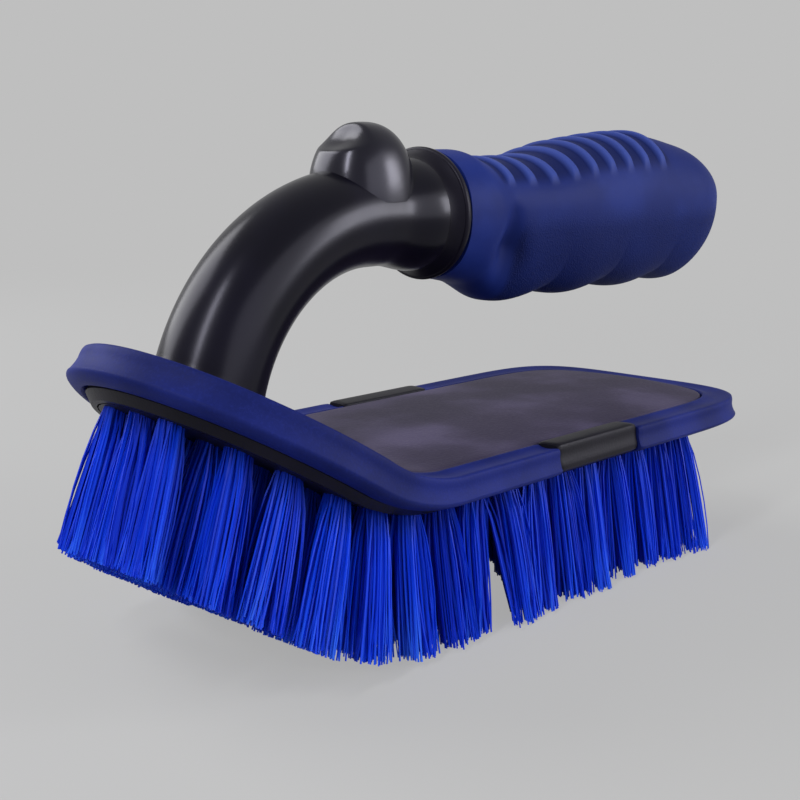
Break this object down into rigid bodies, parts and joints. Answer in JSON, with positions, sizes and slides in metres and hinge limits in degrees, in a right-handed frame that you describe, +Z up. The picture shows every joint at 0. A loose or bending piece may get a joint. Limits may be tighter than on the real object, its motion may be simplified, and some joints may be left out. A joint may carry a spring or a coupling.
{
  "type": "carpet brush",
  "caption": "Carpet scrubbing brush: oblong head with an upturned toe and soft bumpers, trimmed bristle tufts, and a hooped arm from the toe carrying a soft grip above the head.",
  "frame": {"origin": "centre of the bounding box at the level of the trimmed bristle tips", "axes": "+X along the head from its upturned toe to the heel and the end of the grip, +Y across the head, +Z up"},
  "size_m": [0.1942, 0.0704, 0.1012],
  "materials": {
    "block_plastic": "moulded black plastic",
    "cover_plastic": "matte dark grey plastic",
    "bumper_rubber": "soft navy blue rubber",
    "arm_plastic": "glossy black plastic",
    "stop_plastic": "glossy black plastic",
    "collar_plastic": "satin black plastic",
    "grip_rubber": "soft navy blue rubber with a fine texture",
    "bristle_nylon": "royal blue nylon bristle",
    "screw_steel": "plain steel"
  },
  "bodies": {
    "root": {"head_block": "block_plastic", "head_cover": "cover_plastic", "front_bumper": "bumper_rubber", "rear_bumper": "bumper_rubber", "arm": "arm_plastic", "thumb_stop": "stop_plastic", "neck_collar": "collar_plastic", "grip_sleeve": "grip_rubber", "foot_screw_1": "screw_steel", "foot_screw_2": "screw_steel", "tuft_row_01": "bristle_nylon", "tuft_row_02": "bristle_nylon", "tuft_row_03": "bristle_nylon", "tuft_row_04": "bristle_nylon", "tuft_row_05": "bristle_nylon", "tuft_row_06": "bristle_nylon", "tuft_row_07": "bristle_nylon", "tuft_row_08": "bristle_nylon", "tuft_row_09": "bristle_nylon", "tuft_row_10": "bristle_nylon", "tuft_row_11": "bristle_nylon", "tuft_row_12": "bristle_nylon", "tuft_row_13": "bristle_nylon", "tuft_row_14": "bristle_nylon", "tuft_row_15": "bristle_nylon", "tuft_row_16": "bristle_nylon", "tuft_row_17": "bristle_nylon"}
  },
  "joints": []
}
